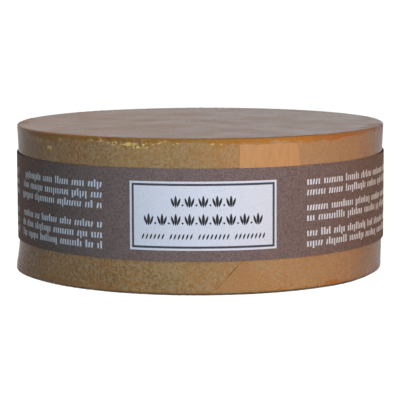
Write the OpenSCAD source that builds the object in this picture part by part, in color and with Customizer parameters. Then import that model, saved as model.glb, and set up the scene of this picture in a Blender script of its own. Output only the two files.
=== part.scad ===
// Round cake of hard shaving soap in a clear shrink-film wrap, with a printed paper band round its side.
// The cake stands on the plane z = 0 with its axis on Z. The band's printed panel faces -Y, and the
// glued overlap of the band is at the back, on +Y.

/* [Soap cake] */
// Diameter of the bare cake
soap_d = 79.3; // [60:0.1:120]
// Height of the bare cake
soap_h = 31.2; // [20:0.1:50]
// Radius of the cake's worn edges, top and bottom
soap_edge_r = 0.9; // [0.4:0.1:2]

/* [Film wrap] */
// Thickness of one layer of film, drawn thicker than the real 0.02 mm to be a sound solid
film_t = 0.1; // [0.05:0.01:0.2]
// Diameter of the opening that the shrunk film leaves in the base
base_open_d = 52; // [20:1:70]
// Angle round Z of the folded pleat's left edge, from the front towards +X
pleat_from = 11; // [0:1:20]
// Angle that the pleat covers round the side
pleat_span = 18.5; // [8:0.5:30]

/* [Paper band] */
// Height of the paper band
band_h = 18.5; // [10:0.5:24]
// Height of the band's lower edge above the table
band_z = 6.9; // [2:0.1:10]
// Thickness of the paper
band_t = 0.15; // [0.1:0.01:0.3]
// Slack all round between the band and the pleat under it
band_clear = 0.08; // [0.05:0.01:0.3]
// Length of the band's glued overlap, along the paper
overlap_l = 9; // [5:0.5:15]
// Thickness of the dried glue in the overlap
glue_t = 0.05; // [0.03:0.01:0.1]
// Bare paper left round the glue, at the ends and edges of the overlap
glue_margin = 1; // [0.5:0.1:2]

/* [Hidden] */
$fn = 180;

front = -90; // the angle of -Y, where the band's printed panel is
back = 90; // the angle of +Y, where the band's ends overlap

skin_gap = 0.02; // air between the soap and the film
soap_r = soap_d / 2;
film_in_r = soap_r + skin_gap;
film_out_r = film_in_r + film_t;
film_edge_r = soap_edge_r + skin_gap;
film_h = film_t + skin_gap + soap_h + skin_gap + film_t;
soap_z = film_t + skin_gap;

pleat_end = soap_edge_r + film_t + skin_gap; // the pleat's layers stop where the wrap turns the corner
pleat_out_r = film_out_r + film_t;

band_in_r = pleat_out_r + band_clear;
band_out_r = band_in_r + band_t;
lap_in_r = band_out_r + glue_t;
lap_out_r = lap_in_r + band_t;
overlap_a = overlap_l / lap_in_r * 180 / PI;
glue_margin_a = glue_margin / lap_in_r * 180 / PI;
reach = 2 * lap_out_r; // further from the axis than any wall, at the middle of a wedge's outer edge too
lap_a = back - overlap_a / 2; // where the overlap begins
fold_a = 1.5; // turn over which the upper end steps out onto the lower one
end_gap_a = 0.5; // turn left open between that step and the lower end

// Outline of half a round cake: a rectangle from the axis out, with its two outer corners rounded
module cake_profile(r, h, edge_r) {
    difference() {
        square([r, h]);
        translate([r - edge_r, -1]) square([edge_r + 1, edge_r + 1]);
        translate([r - edge_r, h - edge_r]) square([edge_r + 1, edge_r + 1]);
    }
    for (z = [edge_r, h - edge_r])
        translate([r - edge_r, z]) circle(r = edge_r);
}

// Flat ring between two radii
module ring(r_in, r_out) {
    difference() {
        circle(r = r_out);
        circle(r = r_in);
    }
}

// Part of a flat ring, from angle a over a turn of span degrees, which is under 90
module arc(r_in, r_out, a, span) {
    intersection() {
        ring(r_in, r_out);
        wedge(a, span);
    }
}

// Flat triangle that fans out from the axis past every wall, from angle a over a turn of span degrees
module wedge(a, span) {
    polygon([[0, 0], [reach * cos(a), reach * sin(a)], [reach * cos(a + span), reach * sin(a + span)]]);
}

// The solid cake of soap
module soap_cake() {
    color("#9a6f45")
        translate([0, 0, soap_z])
            rotate_extrude() cake_profile(soap_r, soap_h, soap_edge_r);
}

// One sheet of clear film: over the top, down the side and turned in under the base, with one pleat
module film_wrap() {
    color("#d8c8b0", 0.35) {
        difference() {
            rotate_extrude()
                cake_profile(film_out_r, film_h, film_edge_r + film_t);
            translate([0, 0, film_t])
                rotate_extrude()
                    cake_profile(film_in_r, soap_h + 2 * skin_gap, film_edge_r);
            translate([0, 0, -1]) cylinder(d = base_open_d, h = film_t + 2);
        }
        translate([0, 0, pleat_end])
            linear_extrude(film_h - 2 * pleat_end)
                arc(film_out_r - film_t / 2, pleat_out_r, front + pleat_from, pleat_span);
    }
}

// The printed paper strip: once round the cake, then its upper end laid over the lower one at the back
module paper_band() {
    color("#5d4b45")
        translate([0, 0, band_z])
            linear_extrude(band_h) {
                difference() {
                    ring(band_in_r, band_out_r);
                    wedge(lap_a, end_gap_a);
                }
                arc(band_in_r, lap_out_r, lap_a - fold_a, fold_a);
                arc(lap_in_r, lap_out_r, lap_a - fold_a, overlap_a + fold_a);
            }
}

// The thin layer of dried glue between the two ends of the band
module band_glue() {
    color("#cfc4a4")
        translate([0, 0, band_z + glue_margin])
            linear_extrude(band_h - 2 * glue_margin)
                arc(band_out_r, lap_in_r, lap_a + glue_margin_a, overlap_a - 2 * glue_margin_a);
}

soap_cake();
film_wrap();
paper_band();
band_glue();
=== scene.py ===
"""Shaving soap puck: a round cake of cured soap, shrink-wrapped in clear film, in a printed paper band.

The cake stands on z = 0 with its axis on Z, and the band's printed panel faces -Y. Lengths in the
classes are millimetres; meshes are scaled to metres as they are made.
"""

import logging
import math
from dataclasses import dataclass
from enum import Enum, IntEnum

import bpy
import numpy as np
from mathutils import Matrix, Vector


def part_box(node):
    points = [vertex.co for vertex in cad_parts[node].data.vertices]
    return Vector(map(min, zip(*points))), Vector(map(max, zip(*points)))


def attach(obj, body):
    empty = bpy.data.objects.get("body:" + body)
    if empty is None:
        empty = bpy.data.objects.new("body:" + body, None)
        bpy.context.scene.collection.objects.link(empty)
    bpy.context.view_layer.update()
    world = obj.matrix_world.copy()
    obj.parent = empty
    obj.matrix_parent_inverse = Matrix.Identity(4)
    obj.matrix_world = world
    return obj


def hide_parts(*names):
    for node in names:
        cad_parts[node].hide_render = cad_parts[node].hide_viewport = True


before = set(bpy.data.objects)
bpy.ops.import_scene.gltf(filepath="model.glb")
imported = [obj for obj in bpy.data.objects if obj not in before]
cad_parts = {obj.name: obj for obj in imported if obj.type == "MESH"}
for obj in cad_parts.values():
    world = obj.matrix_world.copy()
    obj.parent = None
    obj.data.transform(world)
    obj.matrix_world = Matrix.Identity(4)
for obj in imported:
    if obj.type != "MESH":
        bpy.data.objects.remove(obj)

log = logging.getLogger("soap_puck")

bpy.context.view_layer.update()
MM = 0.001
TURN = 2 * math.pi
FRONT = -math.pi / 2  # the angle of -Y, round Z from +X
BACK = math.pi / 2
CREASE = math.radians(35)  # edges sharper than this are kept sharp
WHITE = (1.0, 1.0, 1.0, 1.0)

Array = np.ndarray
Grid = np.ndarray | float  # one number, or one per point
Piece = bpy.types.Object
Material = bpy.types.Material
Node = bpy.types.Node
Socket = bpy.types.NodeSocket
Feed = bpy.types.NodeSocket | float  # what a node's input takes


# ---------------------------------------------------------------- numbers and noise


def cad_heights(node: str) -> tuple[float, float]:
    """The heights of a CAD node's lowest and highest points, in millimetres."""
    low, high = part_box(node)
    return low[2] / MM, high[2] / MM


def smooth(x: Grid, start: float, end: float) -> Grid:
    """Smoothstep: 0 at start, 1 at end, and 3t^2 - 2t^3 between them."""
    t = np.clip((x - start) / (end - start), 0.0, 1.0)
    return t * t * (3 - 2 * t)


def turned(angle: Array, centre: float) -> Array:
    """Angles measured from a centre, brought to between -pi and pi."""
    return (angle - centre + math.pi) % TURN - math.pi


@dataclass(frozen=True)
class Ripples:
    """Seeded smooth noise on a round wall, with no seam: a sum of plane waves in angle and height."""

    seed: int
    waves: int
    turns: tuple[int, int]
    per_mm: tuple[float, float] = (0.0, 0.0)

    def at(self, angle: Array, along: Grid = 0.0) -> Array:
        """Sum of cos(n angle + k along + phase) with whole n, scaled to a spread of about 1.

        Args:
            angle: angle round Z.
            along: distance along the wall, in millimetres.

        Returns:
            The noise at each place, mostly between -2 and 2.
        """
        dice = np.random.default_rng(self.seed)
        total = np.zeros(np.broadcast(angle, along).shape)
        for _ in range(self.waves):
            n = dice.integers(self.turns[0], self.turns[1] + 1)
            k = dice.uniform(*self.per_mm) * dice.choice((-1, 1))
            total = total + np.cos(n * angle + k * along + dice.uniform(0, TURN))
        return total * math.sqrt(2 / self.waves)


# ---------------------------------------------------------------- meshes


def into_scene(name: str, data: bpy.types.ID) -> Piece:
    """Makes an object and links it to the scene.

    Args:
        name: its name.
        data: its mesh, light or camera.

    Returns:
        The object.
    """
    piece = bpy.data.objects.new(name, data)
    bpy.context.scene.collection.objects.link(piece)
    return piece


def mesh_object(name: str, points: Array, faces: list[Array], material: Material) -> Piece:
    """Makes a mesh object at the origin, smooth but for its sharp edges.

    Args:
        name: the piece's name.
        points: N x 3 array in millimetres.
        faces: arrays of faces, each array with its own number of corners.
        material: what it is made of.

    Returns:
        The new object, linked to the scene.
    """
    mesh = bpy.data.meshes.new(name)
    polygons = [f for block in faces for f in block.tolist()]
    mesh.from_pydata((points * MM).tolist(), [], polygons)
    mesh.validate()
    mesh.shade_smooth()
    mesh.set_sharp_from_angle(angle=CREASE)
    mesh.materials.append(material)
    return into_scene(name, mesh)


def quads(rows: int, cols: int) -> Array:
    """Quads over a grid of points whose columns close on themselves.

    Args:
        rows: number of rows of points.
        cols: number of points in each row.

    Returns:
        M x 4 array of indices. A face's outside is along (row step) x (column step).
    """
    i, j = np.meshgrid(np.arange(rows - 1), np.arange(cols), indexing="ij")
    here, across = i * cols + j, i * cols + (j + 1) % cols
    return np.stack([here, here + cols, across + cols, across], axis=-1).reshape(-1, 4)


def revolved(name: str, rings: Array, material: Material) -> Piece:
    """A closed surface of rings round Z, with a single point at each pole.

    Args:
        name: the piece's name.
        rings: rows x columns x 3 array, from the first pole's ring to the last pole's ring.
        material: what it is made of.

    Returns:
        The object. Each pole is the mean of the ring next to it.
    """
    rows, cols = rings.shape[:2]
    poles = np.stack([rings[0].mean(axis=0), rings[-1].mean(axis=0)])
    points = np.vstack([rings.reshape(-1, 3), poles])
    start, end = rows * cols, rows * cols + 1
    j = np.arange(cols)
    following = (j + 1) % cols
    last = (rows - 1) * cols
    fan_start = np.stack([np.full(cols, start), j, following], axis=-1)
    fan_end = np.stack([last + following, last + j, np.full(cols, end)], axis=-1)
    return mesh_object(name, points, [quads(rows, cols), fan_start, fan_end], material)


def swept(name: str, loops: Array, material: Material) -> Piece:
    """Closed solids, each a closed loop of points carried along a path and capped at both ends.

    Args:
        name: the piece's name.
        loops: solids x stations x loop points x 3 array, in millimetres.
        material: what they are made of.

    Returns:
        One object that holds all the solids.
    """
    count, rows, cols = loops.shape[:3]
    offsets = np.arange(count)[:, None, None] * rows * cols
    faces = (quads(rows, cols) + offsets).reshape(-1, 4)
    ring = np.arange(cols)[None] + offsets[:, 0]
    caps = [ring, (ring + (rows - 1) * cols)[:, ::-1]]
    return mesh_object(name, loops.reshape(-1, 3), [faces, *caps], material)


def plate(outer: Array, inner: Array) -> Array:
    """Loops, for swept(), of a thin plate between two faces, each stations x levels (x 3)."""
    return np.concatenate([outer, inner[:, ::-1]], axis=1)[None]


def set_attribute(piece: Piece, name: str, values: Array, poles: tuple[float, ...] = ()) -> None:
    """Stores one number per point on a mesh, for its material: the rings' or loops', then the poles'."""
    layer = piece.data.attributes.new(name, "FLOAT", "POINT")
    layer.data.foreach_set("value", np.append(values.ravel(), poles).astype(np.float32))


# ---------------------------------------------------------------- materials


def linear(hex_colour: str) -> tuple[float, float, float, float]:
    """Turns an sRGB hex colour such as #C08A50 to linear RGBA.

    Args:
        hex_colour: the colour, with its leading #.

    Returns:
        Linear red, green and blue, and 1.
    """
    channels = np.array([int(hex_colour[i : i + 2], 16) for i in (1, 3, 5)]) / 255
    low, high = channels / 12.92, ((channels + 0.055) / 1.055) ** 2.4
    return (*np.where(channels <= 0.04045, low, high).tolist(), 1.0)


def add_node(tree: bpy.types.NodeTree, kind: str, values: dict | None = None, **settings) -> Node:
    """Adds a node with its settings, and its inputs' values or links.

    Args:
        tree: the material's or world's node tree.
        kind: the node's type after its leading ShaderNode, such as Math.
        values: input name or number to a value, or to the output socket that feeds it.
        settings: the node's own properties.

    Returns:
        The node.
    """
    node = tree.nodes.new("ShaderNode" + kind)
    for name, value in settings.items():
        setattr(node, name, value)
    for key, value in (values or {}).items():
        if isinstance(value, Socket):
            tree.links.new(value, node.inputs[key])
        else:
            node.inputs[key].default_value = value
    return node


class Paint:
    """A material's node tree with its output, coordinates and short ways to the nodes that repeat."""

    def __init__(self, name: str) -> None:
        """Starts an empty material of that name."""
        self.material = bpy.data.materials.new(name)
        self.material.use_nodes = True
        self.tree = self.material.node_tree
        self.tree.nodes.clear()
        self.output = self.add("OutputMaterial")
        self.place = self.add("TexCoord").outputs["Object"]

    def add(self, kind: str, values: dict | None = None, **settings) -> Node:
        """Adds a node to this material, as add_node does."""
        return add_node(self.tree, kind, values, **settings)

    def math(self, operation: str, a: Feed, b: Feed, clamp: bool = False) -> Socket:
        """The result of one Math node on a and b, which are numbers or sockets."""
        return self.add("Math", {0: a, 1: b}, operation=operation, use_clamp=clamp).outputs[0]

    def times(self, *factors: Feed, clamp: bool = False) -> Socket:
        """The product of two or more factors.

        Args:
            factors: the numbers or sockets.
            clamp: whether the last product is held to 0..1.

        Returns:
            The product's socket.
        """
        product = factors[0]
        for factor in factors[1:-1]:
            product = self.math("MULTIPLY", product, factor)
        return self.math("MULTIPLY", product, factors[-1], clamp)

    def without(self, share: Socket) -> Socket:
        """What a share leaves of the whole: 1 - share."""
        return self.math("SUBTRACT", 1.0, share)

    def noise(self, size_mm: float, detail: int, rough: float = 0.5, tall: float = 1) -> Socket:
        """Noise whose lumps are size_mm across, from 0 to 1.

        Args:
            size_mm: width of a lump, in millimetres.
            detail: number of finer octaves.
            rough: strength of each finer octave.
            tall: how much longer the lumps are along Z.

        Returns:
            The noise's output socket.
        """
        scale = [1 / (size_mm * MM * s) for s in (1, 1, tall)]
        mapped = self.add("Mapping", {"Vector": self.place, "Scale": scale})
        values = {"Vector": mapped.outputs[0], "Scale": 1.0, "Detail": detail, "Roughness": rough}
        return self.add("TexNoise", values).outputs[0]

    def ramp(self, value: Socket, start: float, end: float, low: float = 0.0, high: float = 1.0) -> Socket:
        """Maps value from start..end to low..high with a smooth step, held at both ends."""
        values = {"Value": value, "From Min": start, "From Max": end, "To Min": low, "To Max": high}
        return self.add("MapRange", values, interpolation_type="SMOOTHSTEP").outputs["Result"]

    def blend(self, share: Socket, first: Socket | str, second: Socket | str) -> Socket:
        """Mixes two colours, sockets or hex: share 0 gives the first, and 1 the second."""
        ends = [linear(c) if isinstance(c, str) else c for c in (first, second)]
        return self.add("Mix", {0: share, 6: ends[0], 7: ends[1]}, data_type="RGBA").outputs[2]

    def over(self, share: Socket, under: Node, coat: Node) -> Node:
        """Mixes two shaders: share 0 gives the one under the coat, and 1 the coat."""
        return self.add("MixShader", {0: share, 1: under.outputs[0], 2: coat.outputs[0]})

    def bump(self, heights: list[tuple[Socket, float]]) -> Socket:
        """A normal from one or more height fields.

        Args:
            heights: each field, from 0 to 1, with its depth in millimetres.

        Returns:
            The last Bump node's normal.
        """
        normal = None
        for height, depth_mm in heights:
            values = {"Height": height, "Distance": depth_mm * MM, "Strength": 1.0}
            if normal is not None:
                values["Normal"] = normal
            normal = self.add("Bump", values).outputs["Normal"]
        return normal

    def solid(self, colour: Socket | str, roughness: float, normal: Socket, more: dict | None = None) -> Node:
        """A Principled shader with this colour, roughness and normal, and any more inputs by name."""
        colour = linear(colour) if isinstance(colour, str) else colour
        values = {"Base Color": colour, "Roughness": roughness, "Normal": normal, **(more or {})}
        return self.add("BsdfPrincipled", values)

    def attribute(self, name: str) -> Socket:
        """A number stored on the mesh's points."""
        return self.add("Attribute", attribute_name=name, attribute_type="GEOMETRY").outputs["Fac"]

    def show(self, shader: Node) -> Material:
        """Makes shader the material's surface, and returns the material."""
        self.tree.links.new(shader.outputs[0], self.output.inputs["Surface"])
        return self.material


@dataclass(frozen=True)
class CuredSoap:
    """Olive and laurel soap, boiled, cast, cut and cured for months.

    Waxy and slightly translucent, amber where the film wets it, with cloudy patches from drying and a
    thin dark line of painted contact shade round the foot.
    """

    amber: str = "#C38636"
    tan: str = "#CF974C"
    olive: str = "#A47738"
    wetted: str = "#B87C18"
    painted_foot_shade: str = "#4A3316"
    olive_share: float = 0.38
    wetted_share: float = 0.8
    painted_foot_shade_mm: tuple[float, float] = (0.3, 0.55)
    ior: float = 1.46

    def make(self) -> Material:
        """Builds the material."""
        p = Paint("cured_olive_soap")
        clouds = p.ramp(p.noise(9.0, 4, 0.6), 0.38, 0.66)
        grain = p.ramp(p.noise(0.6, 2), 0.4, 0.6)
        dents = p.noise(1.6, 3, 0.6)
        body = p.blend(clouds, self.amber, self.tan)
        dry = p.blend(p.times(grain, self.olive_share), body, self.olive)
        moist = p.blend(p.times(p.attribute("wet"), self.wetted_share), dry, self.wetted)
        height = p.add("SeparateXYZ", {"Vector": p.place}).outputs["Z"]
        # painted contact shade: the colour turns dark brown over the lowest half millimetre, where the cake
        # meets the floor
        colour = p.blend(p.ramp(height, *(h * MM for h in self.painted_foot_shade_mm)), self.painted_foot_shade, moist)
        waxy = {
            "IOR": self.ior,
            "Subsurface Weight": 0.12,
            "Subsurface Radius": (0.0016, 0.0008, 0.0003),
            "Subsurface Scale": 1.0,
        }
        return p.show(p.solid(colour, 0.5, p.bump([(dents, 0.05), (grain, 0.012)]), waxy))


@dataclass(frozen=True)
class ShrinkFilm:
    """Clear polyolefin shrink film, 0.02 mm, shrunk on with hot air.

    Gloss with fine crinkles. Where it touches the oily soap it vanishes, and elsewhere the thin gap of
    air behind it gives a pale mottled haze. The golden flecks where the two meet are painted glints, partly
    the colour of oily drops.
    """

    haze: str = "#D3BC90"
    # painted glint colour, partly the colour of oily drops
    oil_and_glint: str = "#FFD678"
    haze_low: float = 0.07
    haze_high: float = 0.39
    haze_evened: float = 0.17
    gloss_roughness: float = 0.18
    ior: float = 1.49

    def haze_share(self, p: Paint, fine: Socket, lumps: Socket) -> Socket:
        """How strong the haze is: mottled where the film is loose, and stronger but even where it is not.

        Args:
            p: the material's paint.
            fine: small noise.
            lumps: broad noise.

        Returns:
            The haze's share, from 0 to 1.
        """
        mottle = p.math("ADD", p.times(fine, 0.85), p.times(lumps, 0.15))
        middle = (self.haze_low + self.haze_high) / 2
        swing = p.ramp(mottle, 0.34, 0.64, self.haze_low - middle, self.haze_high - middle)
        loose = p.attribute("loose")
        even = p.math("ADD", p.times(p.without(loose), self.haze_evened), middle)
        return p.math("ADD", p.times(swing, loose), even, clamp=True)

    def make(self) -> Material:
        """Builds the material: clear, with haze where the film stands off and painted golden glints, under a
        gloss by Fresnel.
        """
        p = Paint("shrink_film")
        outer, glint_gold = p.attribute("outer"), p.attribute("glint_gold")
        fine, lumps = p.noise(0.55, 2, 0.6), p.noise(3.2, 2)
        ragged = p.math("ADD", p.attribute("wet"), p.times(p.math("SUBTRACT", fine, 0.5), 1.3))
        apart = p.without(p.ramp(ragged, 0.4, 0.6))
        broad = p.ramp(ragged, 0.12, 0.95)
        line = p.times(broad, p.without(broad), 4.0)
        # painted glints: a bright golden line along the wet line's edge, plus oily drops where the mask
        # passes 1.25, mixed into the veil's colour and share
        edge = p.times(line, glint_gold, p.ramp(p.noise(0.5, 1), 0.46, 0.58, 0.12, 1.0), clamp=True)
        drop = p.times(p.ramp(glint_gold, 1.25, 1.6), p.ramp(p.noise(0.9, 1, 0.55), 0.36, 0.5, 0.3, 0.85))
        fleck = p.math("MAXIMUM", edge, drop)
        cloud = p.times(self.haze_share(p, fine, lumps), apart)
        share = p.times(p.math("MAXIMUM", cloud, p.times(fleck, 0.9)), outer)
        crumple = p.times(p.noise(1.1, 3, tall=2.2), p.attribute("crease"))
        normal = p.bump([(lumps, 0.04), (fine, 0.03), (crumple, 0.16)])
        clear = p.add("BsdfTransparent", {"Color": (0.99, 0.98, 0.97, 1)})
        veil = p.solid(p.blend(fleck, self.haze, self.oil_and_glint), 0.55, normal)
        glossy = {"Color": WHITE, "Roughness": self.gloss_roughness, "Normal": normal}
        mirror = p.add("Fresnel", {"IOR": self.ior, "Normal": normal}).outputs[0]
        uneven = p.ramp(p.noise(7.0, 3, 0.6), 0.36, 0.64, 0.8, 1.08)
        shine = p.times(mirror, uneven, outer, clamp=True)
        return p.show(p.over(shine, p.over(share, clear, veil), p.add("BsdfGlossy", glossy)))


@dataclass(frozen=True)
class MilkyPleat:
    """Three layers of the same film folded flat, with air shut in between them: milky and evenly tan."""

    milk: str = "#EBB278"

    def make(self) -> Material:
        """Builds the material."""
        p = Paint("folded_film")
        fine = p.noise(0.6, 2, tall=7)
        share = p.times(p.attribute("dense"), p.ramp(fine, 0.25, 0.75, 0.86, 1.0))
        clear = p.add("BsdfTransparent", {"Color": (0.98, 0.97, 0.95, 1)})
        milk = p.solid(self.milk, 0.4, p.bump([(fine, 0.008)]))
        return p.show(p.over(share, clear, milk))


@dataclass(frozen=True)
class BandPaper:
    """Uncoated 120 g paper, printed solid brown: matt, with felt-like fibre and slightly uneven ink."""

    ink: str = "#72605B"
    worn: str = "#907C76"

    def make(self) -> Material:
        """Builds the material."""
        p = Paint("printed_band_paper")
        fibre, cloud = p.noise(0.35, 3, 0.65), p.noise(5.0, 3, 0.6)
        uneven = p.math("ADD", p.times(fibre, 0.9), p.times(cloud, 0.1))
        colour = p.blend(p.ramp(uneven, 0.36, 0.64), self.ink, self.worn)
        normal = p.bump([(fibre, 0.02), (cloud, 0.03)])
        return p.show(p.solid(colour, 0.6, normal, {"Specular IOR Level": 0.06}))


@dataclass(frozen=True)
class Coat:
    """A matt coat on the paper, of print or dried glue, that drifts to a second tone in small lumps."""

    name: str
    colour: str
    second: str
    roughness: float = 0.6
    lump_mm: float = 0.3
    octaves: int = 3
    fineness: float = 0.6
    turns_at: float = 0.42
    relief_mm: float = 0.012

    def make(self) -> Material:
        """Builds the material."""
        p = Paint(self.name)
        lumps = p.noise(self.lump_mm, self.octaves, self.fineness)
        colour = p.blend(p.ramp(lumps, self.turns_at, 0.7), self.colour, self.second)
        return p.show(p.solid(colour, self.roughness, p.bump([(lumps, self.relief_mm)])))


# ---------------------------------------------------------------- the wrapped cake's form


@dataclass(frozen=True)
class Spot:
    """A soft oval mark on the wall: where, how big and how strong."""

    angle_deg: float
    height: float
    wide: float
    tall: float
    strength: float = 1.0

    def at(self, angle: Array, height: Grid, radius: float) -> Array:
        """strength times exp(-(x / wide)^2 - (z / tall)^2), with x the arc from the spot's middle."""
        x = turned(angle, FRONT + math.radians(self.angle_deg)) * radius
        return self.strength * np.exp(-((x / self.wide) ** 2) - ((height - self.height) / self.tall) ** 2)


class Zone(IntEnum):
    """The parts of the cake's outline, from the top's middle to the base's."""

    TOP = 0
    RIM = 1
    SIDE = 2
    HEEL = 3
    BASE = 4


@dataclass(frozen=True)
class Net:
    """Rows down the cake's half outline, crossed with columns round Z.

    Each row has a share of the flat's radius, a corner angle, a height on the side and a Zone, all as
    rows x 1 arrays. Each column has an angle.
    """

    share: Array
    turn: Array
    side_z: Array
    zone: Array
    angle: Array


@dataclass(frozen=True)
class CakeForm:
    """The outer form of the wrapped cake: a low drum with a slight waist, a flared rim and a slumped foot."""

    height: float
    stand: float = 0.03
    waist_r: float = 39.52
    rim_flare: float = 0.15
    rim_reach: float = 3.9
    foot_flare: float = 0.56
    foot_reach: float = 4.0
    corner_r: float = 0.4
    off_axis: float = 0.11
    sway: Ripples = Ripples(seed=11, waves=7, turns=(2, 7), per_mm=(0.0, 0.12))
    swell: Ripples = Ripples(seed=12, waves=8, turns=(1, 5), per_mm=(0.05, 0.22))

    def radius(self, angle: Array, z: Array) -> Array:
        """Waist plus a bell-shaped flare towards the rim and another towards the foot, and a little sway.

        The foot's flare swells at the front left, where the soft cake slumped, and thins at the right.
        """
        side = np.degrees(turned(angle, FRONT))
        slump = 0.42 * np.exp(-(((side + 74) / 13) ** 2))
        thin = 0.7 * (smooth(side, 45, 66) - smooth(side, 100, 130))
        rim = self.rim_flare * np.exp(-(((self.height - z) / self.rim_reach) ** 2))
        foot = (self.foot_flare + slump - thin) * np.exp(-((z / self.foot_reach) ** 2))
        taper = 0.003 * (z - 7)
        return self.waist_r + taper + rim + foot + 0.006 * self.sway.at(angle, z)

    def net(self, side_z: Array, top_r: Array, base_r: Array, bend: int, columns: int) -> Net:
        """The net of a skin, from the top's middle over the rim and down to the base.

        Args:
            side_z: heights down the side, highest first, as shares of the height between the corners.
            top_r: distances from the axis over the top, as shares of the flat top's radius.
            base_r: the same for the base, largest first.
            bend: steps in each quarter-round corner.
            columns: steps round Z.

        Returns:
            The net.
        """
        quarter = np.linspace(0, math.pi / 2, bend + 2)[1:-1]
        low, high = self.corner_r, self.height - self.corner_r
        zones = [
            [(share, 0.0, high, Zone.TOP) for share in top_r],
            [(1.0, turn, high, Zone.RIM) for turn in quarter],
            [(1.0, math.pi / 2, low + share * (high - low), Zone.SIDE) for share in side_z],
            [(1.0, math.pi / 2 + turn, low, Zone.HEEL) for turn in quarter],
            [(share, math.pi, low, Zone.BASE) for share in base_r],
        ]
        rows = np.array([row for zone in zones for row in zone])
        return Net(*(rows[:, i, None] for i in range(4)), np.arange(columns) / columns * TURN)

    def surface(self, net: Net, inset: Grid) -> Array:
        """The form's points, moved in along its normals.

        Each point is the centre of its corner circle plus (corner radius - inset) along the normal, and
        the flats are the same circle's straight ends, so an inset keeps the corners round.

        Args:
            net: where the points stand.
            inset: how far inside the form, in millimetres: one number, or one per point.

        Returns:
            rows x columns x 3 array of points, in millimetres.
        """
        out, up = np.sin(net.turn), np.cos(net.turn)
        depth = self.corner_r - inset
        r = (self.radius(net.angle, net.side_z) - self.corner_r) * net.share + depth * out
        z = self.stand + net.side_z + depth * up + self.crown(net.angle, r) * np.maximum(up, 0.0)
        return np.stack([self.off_axis + r * np.cos(net.angle), r * np.sin(net.angle), z], axis=-1)

    def crown(self, angle: Array, r: Array) -> Array:
        """How far the top sinks below flat: slow swells, fading out at the rim."""
        fade = 1 - smooth(r, 30.0, 38.5)
        return (0.035 * self.swell.at(angle, r) - 0.09) * fade


@dataclass(frozen=True)
class WetMarks:
    """Where the film clings to the oily soap: a ragged line under the rim, drips, blots and the foot."""

    form: CakeForm
    reach: Ripples = Ripples(seed=33, waves=22, turns=(6, 90))
    drift: Ripples = Ripples(seed=36, waves=9, turns=(2, 11))
    drips: tuple[Spot, ...] = (
        Spot(-36.0, 30.4, 2.6, 0.7, 0.7),
        Spot(-48.5, 30.2, 2.0, 0.9, 0.9),
        Spot(-17.0, 30.1, 2.6, 0.8, 0.9),
        Spot(-23.5, 30.0, 2.8, 0.9, 0.42),
        Spot(-56.6, 29.5, 2.2, 0.55, 0.6),
        Spot(-51.2, 28.2, 1.3, 0.7, 0.6),
        Spot(5.5, 30.0, 2.4, 0.7, 0.7),
        Spot(-7.0, 30.0, 1.2, 0.7, 0.6),
        Spot(31.5, 30.1, 2.4, 0.9, 0.6),
        Spot(42.3, 0.9, 2.4, 0.6, 1.0),
        Spot(34.6, 4.3, 2.2, 0.8, 0.42),
        Spot(-48.0, 1.2, 9.0, 0.6, 0.6),
    )
    # spots of painted glint along the wet line; the strongest are oily drops
    flecks: tuple[Spot, ...] = (
        Spot(-56.6, 29.5, 2.0, 0.5, 1.4),
        Spot(-51.2, 28.2, 1.2, 0.65, 1.7),
        Spot(-45.5, 30.4, 1.0, 0.4, 1.2),
        Spot(-24.0, 29.8, 3.0, 1.0, 0.2),
        Spot(-28.5, 30.2, 1.3, 0.2, 0.6),
        Spot(-21.0, 30.1, 1.6, 0.2, 0.6),
        Spot(3.0, 30.3, 0.6, 0.3, 1.2),
        Spot(5.5, 30.3, 1.6, 0.5, 0.8),
        Spot(-7.0, 30.4, 0.5, 0.3, 1.2),
        Spot(31.0, 30.3, 1.8, 0.7, 0.6),
    )

    def at(self, net: Net, rings: Array) -> Array:
        """How closely the film touches the soap.

        Under the rim the line's depth is 0.92 mm plus ripples. The foot's line is thinner, the drips
        add to both, and the top has broad blots from slow noise.

        Args:
            net: the skin's net.
            rings: its points, in millimetres.

        Returns:
            rows x columns array from 0, standing off, to 1, touching.
        """
        z, zone = rings[..., 2], net.zone
        below = self.form.height + self.form.stand - z
        reach = 0.92 + 0.14 * self.reach.at(net.angle) + 0.16 * self.drift.at(net.angle)
        line = 1 - smooth(below - np.maximum(reach, 0.45), -0.28, 0.28)
        foot = 1 - smooth(z - 0.35 - 0.2 * np.abs(self.reach.at(-net.angle)), -0.2, 0.4)
        upper = (zone == Zone.RIM) | (zone == Zone.SIDE)
        wet = np.where(upper, line, 0.0) + np.where(zone >= Zone.SIDE, foot, 0.0)
        for drip in self.drips:
            wet = wet + drip.at(net.angle, z, self.form.waist_r) * (zone == Zone.SIDE)
        blot = 0.28 + 0.22 * self.form.swell.at(net.angle + 1.0, rings[..., 1] * 0.9)
        return np.clip(np.where(zone == Zone.TOP, np.clip(blot, 0, 0.38), wet), 0, 1)

    def glint_gold(self, net: Net, rings: Array) -> Array:
        """Where the edge of the wet line gets a painted glint: along the front left of the rim, and at its
        flecks.

        Args:
            net: the skin's net.
            rings: its points, in millimetres.

        Returns:
            rows x columns array from 0 to 2, where the strongest spots are whole oily drops, painted bright
            like glints.
        """
        side, z = np.degrees(turned(net.angle, FRONT)), rings[..., 2]
        # painted glint along the rim: strongest at the front left, weaker at the far left and from the front
        # round to the right
        rim = 0.3 * smooth(side, -80, -66) + 0.7 * smooth(side, -40, -30) - 0.6 * smooth(side, -9, -4)
        mask = rim * smooth(z, 26.0, 27.5) * (0.75 + 0.25 * self.drift.at(net.angle * 2))
        for fleck in self.flecks:
            mask = mask + fleck.at(net.angle, z, self.form.waist_r)
        return np.clip(mask, 0.16, 2) * ((net.zone == Zone.RIM) | (net.zone == Zone.SIDE))


# ---------------------------------------------------------------- pieces of the cake


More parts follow.
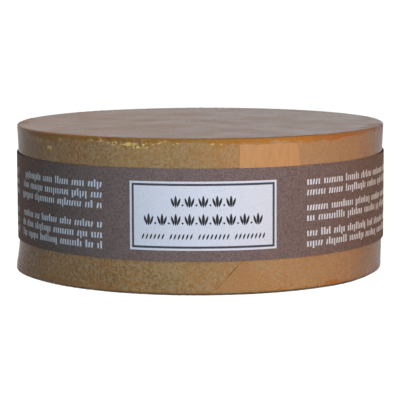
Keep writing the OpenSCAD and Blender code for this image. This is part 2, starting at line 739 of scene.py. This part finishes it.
@dataclass
class SoapCake:
    """The solid cake of soap, just inside the film."""

    form: CakeForm
    inset: float
    nick_depth: float = 0.22
    pit_depth: float = 0.05
    columns: int = 480
    finish: CuredSoap = CuredSoap()
    nicks: Ripples = Ripples(seed=21, waves=24, turns=(15, 120))
    pits: Ripples = Ripples(seed=22, waves=30, turns=(20, 110), per_mm=(0.5, 2.6))

    def build(self) -> Piece:
        """Makes the cake: the form inset by the film, with worn nicks in its edges and small pits."""
        flat = np.linspace(0.03, 1.0, 26) ** 0.8
        net = self.form.net(np.linspace(1, 0, 64), flat, flat[::-1], 6, self.columns)
        edge = (net.zone == Zone.RIM) | (net.zone == Zone.HEEL)
        nick = self.nick_depth * np.clip(self.nicks.at(net.angle) - 1.1, 0, 1.2) * edge
        along = np.cumsum(np.full(len(net.zone), 0.7))[:, None]
        pit = self.pit_depth * np.clip(self.pits.at(net.angle, along) - 0.9, 0, 1.5)
        rings = self.form.surface(net, self.inset + nick + pit)
        piece = revolved("soap_cake_body", rings, self.finish.make())
        set_attribute(piece, "wet", WetMarks(self.form).at(net, rings), (0.3, 0.3))
        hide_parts("soap_cake")
        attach(piece, "cake")
        return piece


@dataclass
class FilmWrap:
    """The clear film: over the top, down the side and turned in under the base, crinkled at both rims."""

    form: CakeForm
    thickness: float
    opening_r: float
    rim_raise: float = 0.05
    base_raise: float = 0.028
    rim_fold: float = 0.055
    foot_fold: float = 0.03
    base_fold: float = 0.014
    rim_reach: float = 1.7
    foot_reach: float = 1.2
    columns: int = 720
    finish: ShrinkFilm = ShrinkFilm()
    folds: Ripples = Ripples(seed=31, waves=26, turns=(70, 210), per_mm=(0.0, 0.35))
    patches: Ripples = Ripples(seed=32, waves=9, turns=(2, 11))
    gathers: Ripples = Ripples(seed=34, waves=20, turns=(24, 90), per_mm=(0.0, 0.08))
    ragged: Ripples = Ripples(seed=35, waves=10, turns=(3, 26))
    stands_off: tuple[Spot, ...] = (Spot(-21, 30.6, 7.0, 1.6, 0.9), Spot(68, 30.6, 9.0, 1.8, 1.0))

    def outline(self) -> Net:
        """The film's net, fine at both rims and coarse where the band hides it."""
        top = np.concatenate([np.linspace(0.04, 0.86, 7), np.linspace(0.9, 1.0, 8)])
        by_rim, hidden, by_foot = (0, 0.14, 12), (0.2, 0.8, 7), (0.86, 1.0, 9)
        side = 1 - np.concatenate([np.linspace(*stretch) for stretch in (by_rim, hidden, by_foot)])
        base = np.linspace(1.0, self.opening_r / (self.form.waist_r - self.form.corner_r), 9)
        return self.form.net(side, top, base, 4, self.columns)

    def crinkle(self, net: Net) -> Array:
        """Outward buckles: sharp-backed folds in patches, within a few millimetres of each rim.

        Args:
            net: the film's net.

        Returns:
            rows x columns array of how far each point is raised, in millimetres.
        """
        angle, zone = net.angle, net.zone
        down = np.where(zone == Zone.RIM, 0, self.form.height - net.side_z)
        from_rim = np.where(zone == Zone.TOP, (1 - net.share) * self.form.waist_r, down)
        from_foot = np.where(zone >= Zone.HEEL, 0, net.side_z)
        patch = smooth(self.patches.at(angle), -0.4, 1.6)
        for spot in self.stands_off:
            patch = patch + spot.at(angle, spot.height, self.form.waist_r)
        fold = np.clip(self.folds.at(angle, from_rim), 0, 2) ** 1.5
        rim = fold * patch * np.exp(-((from_rim / self.rim_reach) ** 2)) * self.rim_fold
        foot = fold[:, ::-1] * np.exp(-((from_foot / self.foot_reach) ** 2)) * self.foot_fold
        foot = foot * (zone >= Zone.SIDE)
        gather = np.clip(self.gathers.at(angle, net.share * 30), 0, 2) * self.base_fold
        most = np.where(zone > Zone.SIDE, self.base_raise, self.rim_raise)
        return np.minimum(np.where(zone == Zone.BASE, gather, rim + foot), most)

    def looseness(self, angle: Array, z: Array) -> Array:
        """How uneven the haze is: least at the front right, where the film is tight, and most at the left.

        Args:
            angle: angles round Z, one per column.
            z: rows x columns array of heights, in millimetres.

        Returns:
            rows x columns array from 0.5 to 1.3.
        """
        side = np.degrees(turned(angle, FRONT))
        lower = 1 - 0.35 * smooth(z, 10.0, 22.0)
        left = smooth(side, -85, -60) * (1 - smooth(side, -30, 8))
        return 1 - 0.5 * smooth(side, 2, 34) + 0.3 * left * lower

    def build(self) -> Piece:
        """Makes the film as one closed shell: the outer face from the top's middle to the base opening,
        then back along the inner face."""
        net = self.outline()
        raised = self.crinkle(net)
        outer = self.form.surface(net, -raised)
        inner = self.form.surface(net, self.thickness - raised)
        for skin in (outer, inner):
            edge = np.clip(1 - (np.hypot(skin[..., 0], skin[..., 1]) - self.opening_r) / 6, 0, 1)
            shrink = 1 - 0.02 * edge * self.ragged.at(net.angle) * (net.zone == Zone.BASE)
            skin[..., :2] *= shrink[..., None]
        piece = revolved("film_wrap_shell", np.concatenate([outer, inner[::-1]]), self.finish.make())
        marks = WetMarks(self.form)
        on_skins = {
            "wet": (marks.at(net, outer), 0.3),
            "glint_gold": (marks.glint_gold(net, outer), 0.0),
            "loose": (self.looseness(net.angle, outer[..., 2]), 1.0),
            "crease": (np.clip(raised / self.rim_raise, 0, 1), 0.0),
        }
        for name, (values, pole) in on_skins.items():
            set_attribute(piece, name, np.concatenate([values, values[::-1]]), (pole, pole))
        set_attribute(piece, "outer", np.repeat([1.0, 0.0], raised.size), (1.0, 0.0))
        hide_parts("film_wrap")
        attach(piece, "cake")
        return piece


@dataclass
class FilmPleat:
    """The film's one flat pleat on the side, where the spare film was folded over before it was shrunk."""

    form: CakeForm
    thickness: float
    gap: float = 0.03
    left_deg: float = 11.2
    right_deg: float = 30.3
    foot_deg: float = 13.2
    below_rim: float = 1.35
    finish: MilkyPleat = MilkyPleat()

    def edges(self, z: Array) -> tuple[Array, Array]:
        """The pleat's left and right edges at a height: a wide strip above, and a low tent below the band.

        Args:
            z: heights, in millimetres.

        Returns:
            The two edges' angles round Z.
        """
        spread = smooth(6.9 - z, 0.0, 6.5)
        left = self.left_deg - 6.8 * spread
        above = self.right_deg - 0.31 * (z - 26.0) * smooth(z, 18.0, 25.0)
        right = above + (self.foot_deg - above) * (1 - smooth(z, 8.0, 18.0)) + 8.5 * spread
        return FRONT + np.radians(left), FRONT + np.radians(right)

    def skin(self, angle: Array, z: Array, r: Array) -> Array:
        """Points at a radius round the cake's own axis, and at a height over its base."""
        x, y = self.form.off_axis + r * np.cos(angle), r * np.sin(angle)
        return np.stack([x, y, z + self.form.stand], axis=-1)

    def build(self) -> Piece:
        """Makes the pleat as a thin plate on the film, from under the rim to the foot."""
        top = self.form.height - self.below_rim
        z = np.linspace(0.9, top, 60)
        left, right = self.edges(z)
        across = np.linspace(0, 1, 40)[:, None]
        angle = left + (right - left) * across
        rim = top - 0.16 * np.sin(angle * 55) * np.sin(angle * 21 + 1)
        z = z + (rim - z[-1]) * smooth(z, 27.0, top)
        base = self.form.radius(angle, z) + self.gap
        lift = 0.02 * np.sin(across * math.pi) ** 2
        outer, inner = self.skin(angle, z, base + self.thickness + lift), self.skin(angle, z, base + lift)
        piece = swept("film_wrap_pleat", plate(outer, inner), self.finish.make())
        dense = 0.3 + 0.38 * smooth(z, 7.0, 16.0)
        set_attribute(piece, "dense", plate(dense, dense))
        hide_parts("film_wrap")
        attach(piece, "cake")
        return piece


# ---------------------------------------------------------------- pieces of the band


@dataclass(frozen=True)
class BandForm:
    """The paper band's shape: straight from edge to edge, a slightly open cone that bulges over the pleat."""

    low: float
    high: float
    overlap: float
    paper: float = 0.08
    glue: float = 0.03
    foot_r: float = 39.84
    rim_r: float = 39.845
    bulge: float = 0.04
    bulge_from_deg: float = 9.0
    bulge_to_deg: float = 33.0
    soft_deg: float = 5.0
    lifted: float = 0.012
    wavy: float = 0.004
    off_axis: float = 0.11
    wave: Ripples = Ripples(seed=41, waves=8, turns=(2, 9))
    lift: Ripples = Ripples(seed=42, waves=9, turns=(3, 14))

    @property
    def start(self) -> float:
        """The angle at which the strip begins, under its own overlap at the back."""
        return BACK - self.overlap / self.rim_r / 2

    def share(self, z: Array) -> Array:
        """Height as a share of the band's: 0 at its lower edge, and 1 at its upper edge."""
        return (z - self.low) / (self.high - self.low)

    def inner_r(self, angle: Array, z: Array) -> Array:
        """Inner radius: a straight cone, plus the bulge over the pleat, soft waves and lifted edges."""
        t = self.share(z)
        front = turned(angle, FRONT)
        start, end = math.radians(self.bulge_from_deg), math.radians(self.bulge_to_deg)
        soft = math.radians(self.soft_deg)
        over = smooth(front, start - soft, start) * (1 - smooth(front, end, end + soft))
        edge = self.lifted * np.clip(self.lift.at(angle), 0, 2) * np.abs(2 * t - 1) ** 6
        cone = self.foot_r + (self.rim_r - self.foot_r) * t
        return cone + self.bulge * over + self.wavy * (1 + self.wave.at(angle)) + edge

    def place(self, angle: Array, z: Array, out: Grid) -> Array:
        """Points at a height over the band's inner face.

        Args:
            angle: angles round Z.
            z: heights, in millimetres.
            out: distance out from the inner face, in millimetres.

        Returns:
            Array of points with a last axis of 3.
        """
        angle, z, out = np.broadcast_arrays(angle, z, out)
        r = self.inner_r(angle, z) + out
        return np.stack([self.off_axis + r * np.cos(angle), r * np.sin(angle), z], axis=-1)

    def on_print(self, x: Array, z: Array, proud: float) -> Array:
        """Points on the printed face, x millimetres round the paper from the middle of the front."""
        return self.place(FRONT + x / (self.rim_r + self.paper), z, self.paper + proud)


@dataclass
class PaperBand:
    """The printed paper strip, once round the cake with its upper end glued over the lower one."""

    form: BandForm
    stations: int = 860
    levels: int = 12
    finish: BandPaper = BandPaper()

    def build(self) -> Piece:
        """Makes the strip: its cross-section loop is carried once round and on over its own start."""
        form = self.form
        turn = TURN + form.overlap / form.rim_r
        along = np.linspace(0, turn, self.stations)[:, None]
        angle = form.start + along
        step = (form.paper + form.glue) * smooth(along, TURN - 0.05, TURN - 0.012)
        flare = 0.05 * smooth(along, turn - 0.03, turn)
        up = np.linspace(form.low, form.high, self.levels)[None]
        outer = form.place(angle, up, form.paper + step + flare)
        inner = form.place(angle, up, step + flare)
        piece = swept("paper_band_strip", plate(outer, inner), self.finish.make())
        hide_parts("paper_band")
        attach(piece, "band")
        return piece


@dataclass
class BandGlue:
    """The thin smear of glue between the band's two ends, dried to a cream skin with small air bells."""

    form: BandForm
    low: float
    high: float
    clear: float = 0.005
    finish: Coat = Coat("dried_paper_glue", "#D8CDAE", "#B9AA84", 0.38, 0.7, 2, 0.5, 0.4, 0.02)

    def build(self) -> Piece:
        """Makes the smear: a thin plate with a wandering outline."""
        form = self.form
        across = np.linspace(0.12, 0.88, 24)[:, None]
        angle = form.start + across * form.overlap / form.rim_r
        share = np.linspace(0, 1, 30)[None]
        wander = 0.35 * np.sin(angle * 90) + 0.2 * np.sin(angle * 210 + 1)
        z = self.low + wander + share * (self.high - self.low)
        outer = form.place(angle, z, form.paper + form.glue - self.clear)
        inner = form.place(angle, z, form.paper + self.clear)
        piece = swept("band_glue_smear", plate(outer, inner), self.finish.make())
        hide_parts("band_glue")
        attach(piece, "band")
        return piece


class Align(Enum):
    """Which side of its column a block of fine print lines up on."""

    LEFT = 1
    RIGHT = -1


@dataclass(frozen=True)
class Column:
    """A block of fine print: where its straight edge is, how wide it is, and how its lines are grouped."""

    edge_deg: float
    width: float
    align: Align
    groups: tuple[int, ...]
    top: float
    gap: float
    seed: int


@dataclass
class BandPrint:
    """Everything printed on the band in other inks: the framed panel, its ornaments and the fine print.

    The rows stand where such a band has its title and notes, but they are ornament and spell nothing.
    """

    form: BandForm
    panel_x: float = 0.55
    panel_w: float = 29.9
    panel_low: float = 9.05
    panel_high: float = 22.85
    frame_line: float = 0.42
    frame_gap: float = 0.45
    under: float = 0.004
    proud: float = 0.02
    hair: float = 0.002
    sprig_pitch: float = 2.75
    leaflets: int = 31
    leaflet_row: float = 25.2
    leaflet_gaps: tuple[int, ...] = (6, 13, 22)
    line_pitch: float = 2.12
    stroke_pitch: float = 0.72
    stroke_body: float = 1.1
    word_gap: float = 0.8
    columns: tuple[Column, ...] = (
        Column(-30.1, 28.6, Align.RIGHT, (3, 3), 22.25, 3.9, 51),
        Column(32.7, 35.0, Align.LEFT, (2, 2, 2), 22.5, 3.1, 52),
        Column(-76.0, 27.0, Align.RIGHT, (3, 3), 22.25, 3.9, 53),
        Column(96.0, 30.0, Align.LEFT, (2, 2, 2), 22.5, 3.1, 54),
    )
    white: Coat = Coat("bare_white_paper", "#EEF0F6", "#E3E5EE")
    dark: Coat = Coat("black_title_ink", "#14171F", "#232733", 0.5)
    grey: Coat = Coat("slate_frame_ink", "#40424C", "#4C4E58")

    def dress(self, name: str, loops: Array, ink: Coat) -> Piece:
        """Makes one print, and rides it on the band.

        Args:
            name: the piece's name.
            loops: its loops, for swept().
            ink: its finish.

        Returns:
            The piece.
        """
        piece = swept(name, loops, ink.make())
        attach(piece, "band")
        return piece

    def edges(self, inset: float) -> tuple[float, ...]:
        """The left, right, lower and upper edges of the panel, moved in by inset."""
        left = self.panel_x - self.panel_w / 2 + inset
        right = self.panel_x + self.panel_w / 2 - inset
        return left, right, self.panel_low + inset, self.panel_high - inset

    def slab(self, box: tuple[float, ...], face: float, steps: int) -> Array:
        """Loops of a thin rectangle of print with box's left, right, lower and upper edges."""
        x, up = np.linspace(*box[:2], steps)[:, None], np.linspace(*box[2:], 4)[None]
        return plate(self.form.on_print(x, up, face), self.form.on_print(x, up, self.under))

    def border(self, inset: float, width: float, face: float) -> Array:
        """A rectangular line round the panel, as four slabs with a hair's breadth between them.

        Args:
            inset: distance from the panel's outer edge to the line's outer edge.
            width: the line's width.
            face: the line's height over the paper.

        Returns:
            Loops for swept().
        """
        x0, x1, z0, z1 = self.edges(inset)
        low, high = z0 + width, z1 - width
        sides = [
            (x0, x1, high, z1),
            (x0, x1, z0, low),
            (x0, x0 + width, low + self.hair, high - self.hair),
            (x1 - width, x1, low + self.hair, high - self.hair),
        ]
        return np.concatenate([self.slab(side, face, 48) for side in sides])

    def marks(self, middle: Array, half: Array, height: Array, low: float, high: float) -> Array:
        """Loops of many small flat marks, each given at a few heights.

        Args:
            middle: marks x heights array of middles, round the paper.
            half: the same for half-widths.
            height: the same for heights, lowest first.
            low: the marks' underside, over the paper.
            high: the marks' face, over the paper.

        Returns:
            marks x heights x 4 x 3 array for swept().
        """
        left, right = middle - half, middle + half
        corners = [(right, high), (left, high), (left, low), (right, low)]
        return np.stack([self.form.on_print(x, height, out) for x, out in corners], axis=2)

    def leaves(self, x: Array, foot: float, tall: float, wide: float, slant: float) -> Array:
        """Lens-shaped leaves: the half-width is wide / 2 times sin(pi t)^0.8 at a share t of the height.

        Args:
            x: each leaf's foot, round the paper.
            foot: the leaves' lowest height.
            tall: a leaf's height.
            wide: its greatest width.
            slant: its sideways run from foot to tip.

        Returns:
            Loops for swept(), on the panel's face.
        """
        t = np.linspace(0.03, 0.97, 9)[None]
        belly = wide / 2 * np.sin(math.pi * t) ** 0.8
        middle = x[:, None] + t * slant
        return self.marks(middle, belly, foot + t * tall, self.proud, self.proud * 2)

    def beads(self, x: Array, middle: float, size: float) -> Array:
        """Small lozenges: the half-width is size / 2 times 1 - |2 t - 1| at a share t of the height.

        Args:
            x: each bead's middle, round the paper.
            middle: the beads' middle height.
            size: their width and height.

        Returns:
            Loops for swept(), on the panel's face.
        """
        t = np.linspace(0.04, 0.96, 9)[None]
        half = size / 2 * (1 - np.abs(2 * t - 1))
        return self.marks(x[:, None], half, middle + (t - 0.5) * size, self.proud, self.proud * 2)

    def title(self) -> Array:
        """Two rows of laurel sprigs with beads between them, and a low row of slanted leaflets.

        A sprig is an upright leaf with a shorter leaf spread to each side.

        Returns:
            Loops for swept(), on the panel's face.
        """
        parts = []
        sprig = ((0.0, 0.0, 1.0, 0.6, 0.0), (-0.3, 0.1, 0.78, 0.5, -0.62), (0.3, 0.1, 0.78, 0.5, 0.62))
        for count, low, high in ((5, 17.6, 20.1), (9, 13.95, 16.5)):
            x = self.panel_x + (np.arange(count) - (count - 1) / 2) * self.sprig_pitch
            for across, up, share, wide, slant in sprig:
                parts.append(self.leaves(x + across, low + up, (high - low) * share, wide, slant))
            parts.append(self.beads((x[:-1] + x[1:]) / 2, low + 0.55, 0.5))
        place = np.arange(self.leaflets)
        x = self.panel_x + (place - (self.leaflets - 1) / 2) * self.leaflet_row / self.leaflets
        x = x[~np.isin(place, self.leaflet_gaps)]
        parts.append(self.leaves(x - 0.2, 11.2, 1.25, 0.36, 0.45))
        return np.concatenate(parts)

    def fine_print(self) -> Array:
        """Columns of rows of small strokes: upright or leaning to the right, and some taller."""
        strokes = []
        for column in self.columns:
            dice = np.random.default_rng(column.seed)
            z = column.top
            for lines in column.groups:
                for _ in range(lines):
                    strokes.append(self.row_of_strokes(column, z, dice))
                    z -= self.line_pitch
                z -= column.gap - self.line_pitch
        middle, half, height = (np.concatenate(part) for part in zip(*strokes))
        return self.marks(middle, half, height, self.under, self.proud)

    def row_of_strokes(self, column: Column, z: float, dice: np.random.Generator) -> tuple:
        """One line of a column.

        Runs of 3 to 11 strokes fill the line, with a gap between runs. Each stroke has three heights,
        and its middle stands off by slant at the foot and the top.

        Args:
            column: the block that the line is in.
            z: height of the top of the line's low strokes.
            dice: the block's own random numbers.

        Returns:
            The strokes' middles, half-widths and heights, each strokes x 3.
        """
        x, places = 0.0, []
        width = column.width - dice.uniform(0, 2.0)
        while x < width:
            run = int(dice.integers(3, 12))
            places.extend(x + np.arange(run) * self.stroke_pitch)
            x += run * self.stroke_pitch + self.word_gap
        x = np.array(places)
        x = x[x < width]
        if column.align is Align.RIGHT:
            x = x - x[-1]
        x = x + math.radians(column.edge_deg) * (self.form.rim_r + self.form.paper)
        kind = dice.random(len(x))[:, None]  # below 0.35 it leans, from 0.6 it is tall, and from 0.78 deep
        slant = np.where(kind < 0.35, 0.1, 0.0) * [-1, 0, 1]
        tall = np.where((kind > 0.6) & (kind < 0.78), 0.42, 0.0) * [0, 0.5, 1]
        deep = np.where((kind > 0.78) & (kind < 0.86), 0.4, 0.0) * [1, 0.5, 0]
        height = z - self.stroke_body * np.array([1, 0.5, 0]) + tall - deep
        half = dice.uniform(0.17, 0.23, (len(x), 1)) + 0 * height
        return x[:, None] + slant, half, height

    def build(self) -> list[Piece]:
        """Makes every print on the band."""
        line, gap = self.frame_line, self.frame_gap
        panel = self.slab(self.edges(line + gap), self.proud, 64)
        return [
            self.dress("band_print_panel", panel, self.white),
            self.dress("band_print_frame", self.border(0.0, line, self.proud), self.white),
            self.dress("band_print_keyline", self.border(line, gap, self.proud * 0.8), self.grey),
            self.dress("band_print_leaves", self.title(), self.dark),
            self.dress("band_print_notes", self.fine_print(), self.white),
        ]


# ---------------------------------------------------------------- studio


@dataclass(frozen=True)
class SoftBox:
    """A rectangular studio light that points at the cake."""

    name: str
    azimuth_deg: float
    elevation_deg: float
    distance: float
    size: tuple[float, float]
    level: float
    colour: str

    def build(self, target: Vector) -> Piece:
        """Makes the light, which shows in no mirror. Its power is pi^2 distance^2 level, which lights a
        white card at the target to that level.

        Args:
            target: the point it faces, in metres.

        Returns:
            The light.
        """
        data = bpy.data.lights.new(self.name, "AREA")
        data.shape = "RECTANGLE"
        data.size, data.size_y = self.size
        data.energy = math.pi**2 * self.distance**2 * self.level
        data.color = linear(self.colour)[:3]
        light = into_scene(self.name, data)
        a, e = math.radians(self.azimuth_deg), math.radians(self.elevation_deg)
        away = Vector((math.sin(a) * math.cos(e), -math.cos(a) * math.cos(e), math.sin(e)))
        light.location = target + away * self.distance
        light.rotation_euler = away.to_track_quat("Z", "Y").to_euler()
        light.visible_camera = False
        light.visible_glossy = False
        return light


@dataclass
class Studio:
    """The pale floor, the pale surround, the lights and the camera."""

    target: Vector
    floor_size: float = 30.0
    floor_glow: float = 0.98
    ambient: float = 0.015
    room: float = 0.43
    room_tint: str = "#FFF1EE"
    cool_tint: str = "#FFFAFF"
    table: float = 1.2
    table_tint: str = "#FFEBD2"
    focal_mm: float = 166.0
    shift_y: float = -0.0184
    lens_deg: float = 7.08
    roll_deg: float = -0.22
    distance: float = 0.4044
    boxes: tuple[SoftBox, ...] = (
        SoftBox("window_softbox", 8, 10, 0.15, (0.06, 0.06), 0.32, "#9CCEFF"),
        SoftBox("fill_softbox", -24, 10, 0.26, (0.12, 0.12), 0.125, "#EEFFF4"),
        SoftBox("warm_softbox", 39, 12, 0.26, (0.12, 0.12), 0.45, "#FFD2A0"),
        SoftBox("top_softbox", -10, 72, 0.7, (0.5, 0.5), 0.34, "#EAF2FF"),
        SoftBox("rear_left_softbox", -142, 9, 0.3, (0.16, 0.16), 0.3, "#EFF5FF"),
        SoftBox("rear_right_softbox", 150, 9, 0.3, (0.16, 0.16), 0.42, "#FFF1E2"),
    )

    def floor(self) -> Piece:
        """A pale matt floor: a flat square, which lights nothing but the lens."""
        half = self.floor_size / 2 / MM
        corners = np.array([(-half, -half, 0), (half, -half, 0), (half, half, 0), (-half, half, 0)])
        p = Paint("pale_floor_paper")
        values = {
            "Base Color": p.blend(p.noise(60.0, 2, 0.55), "#8E8E8C", "#949492"),
            "Roughness": 0.9,
            "Emission Color": WHITE,
            "Emission Strength": self.floor_glow,
        }
        paper = p.show(p.add("BsdfPrincipled", values))
        floor = mesh_object("studio_floor", corners, [np.array([[0, 1, 2, 3]])], paper)
        floor.visible_diffuse = False
        floor.visible_glossy = False
        return floor

    def surround(self) -> None:
        """The air round the set: white to the lens, a pale room to a gloss, and dim light to the rest.

        The room has a bright table low in front, and is a little cooler at the right.
        """
        world = bpy.data.worlds.new("studio_air")
        world.use_nodes = True
        tree = world.node_tree
        tree.nodes.clear()

        def background(colour: Socket | tuple, strength: float) -> Socket:
            """An even light of that colour and strength."""
            return add_node(tree, "Background", {"Color": colour, "Strength": strength}).outputs[0]

        def mixed(share: Socket, first: Socket, second: Socket) -> Socket:
            """Two lights mixed: share 0 gives the first, and 1 the second."""
            return add_node(tree, "MixShader", {0: share, 1: first, 2: second}).outputs[0]

        def share_of(value: Socket, start: float, end: float) -> Socket:
            """Straight from 0 at start to 1 at end, held at both ends."""
            return add_node(tree, "MapRange", {"Value": value, 1: start, 2: end}).outputs[0]

        way = add_node(tree, "TexCoord").outputs["Generated"]
        toward = add_node(tree, "SeparateXYZ", {"Vector": way}).outputs
        low, front = share_of(toward["Z"], 0.03, -0.05), share_of(toward["Y"], 0.55, -0.3)
        lit = add_node(tree, "Math", {0: low, 1: front}, operation="MULTIPLY").outputs[0]
        tints = {0: share_of(toward["X"], -0.04, 0.1), 6: linear(self.room_tint), 7: linear(self.cool_tint)}
        tint = add_node(tree, "Mix", tints, data_type="RGBA").outputs[2]
        table = background(linear(self.table_tint), self.table)
        pale = mixed(lit, background(tint, self.room), table)
        ray = add_node(tree, "LightPath").outputs
        unseen = mixed(ray["Is Glossy Ray"], background(WHITE, self.ambient), pale)
        whole = mixed(ray["Is Camera Ray"], unseen, background(WHITE, 1.0))
        add_node(tree, "OutputWorld", {"Surface": whole})
        bpy.context.scene.world = world

    def camera(self) -> Piece:
        """A long lens just above the cake's rim, which looks at the printed panel."""
        data = bpy.data.cameras.new("lens")
        data.sensor_width = 36.0
        data.lens = self.focal_mm
        data.shift_y = self.shift_y
        data.clip_start, data.clip_end = 0.02, 60.0
        data.dof.use_dof = False
        lens = into_scene("lens", data)
        e, roll = math.radians(self.lens_deg), math.radians(self.roll_deg)
        back = Vector((0.0, -math.cos(e), math.sin(e)))
        turn = back.to_track_quat("Z", "Y").to_matrix() @ Matrix.Rotation(roll, 3, "Z")
        lens.location = self.target + back * self.distance
        lens.rotation_euler = turn.to_euler()
        bpy.context.scene.camera = lens
        return lens

    def build(self) -> None:
        """Makes the whole set."""
        self.floor()
        self.surround()
        self.camera()
        for box in self.boxes:
            box.build(self.target)
        bpy.context.scene.view_settings.view_transform = "Standard"


# ---------------------------------------------------------------- the puck


@dataclass
class Puck:
    """The whole wrapped cake, with its heights from the CAD model."""

    film_top: float
    band: tuple[float, float]
    glue: tuple[float, float]

    def build(self) -> list[Piece]:
        """Makes every piece, from the inside out.

        Returns:
            The pieces.
        """
        cake = CakeForm(height=self.film_top - 0.13)
        band = BandForm(low=self.band[0], high=self.band[1], overlap=9.0)
        return [
            SoapCake(cake, inset=0.12).build(),
            FilmWrap(cake, thickness=0.04, opening_r=26.0).build(),
            FilmPleat(cake, thickness=0.03).build(),
            PaperBand(band).build(),
            BandGlue(band, self.glue[0] + 0.5, self.glue[1] - 0.5).build(),
            *BandPrint(band).build(),
        ]


def main() -> None:
    """Builds the studio and the puck, and reports each piece."""
    logging.basicConfig(level=logging.INFO, format="%(name)s: %(message)s")
    film_top = cad_heights("film_wrap")[1]
    Studio(target=Vector((0, 0, film_top / 2 * MM))).build()
    puck = Puck(film_top, cad_heights("paper_band"), cad_heights("band_glue"))
    for piece in puck.build():
        log.info("%s: %d faces", piece.name, len(piece.data.polygons))


if __name__ == "__main__":
    main()
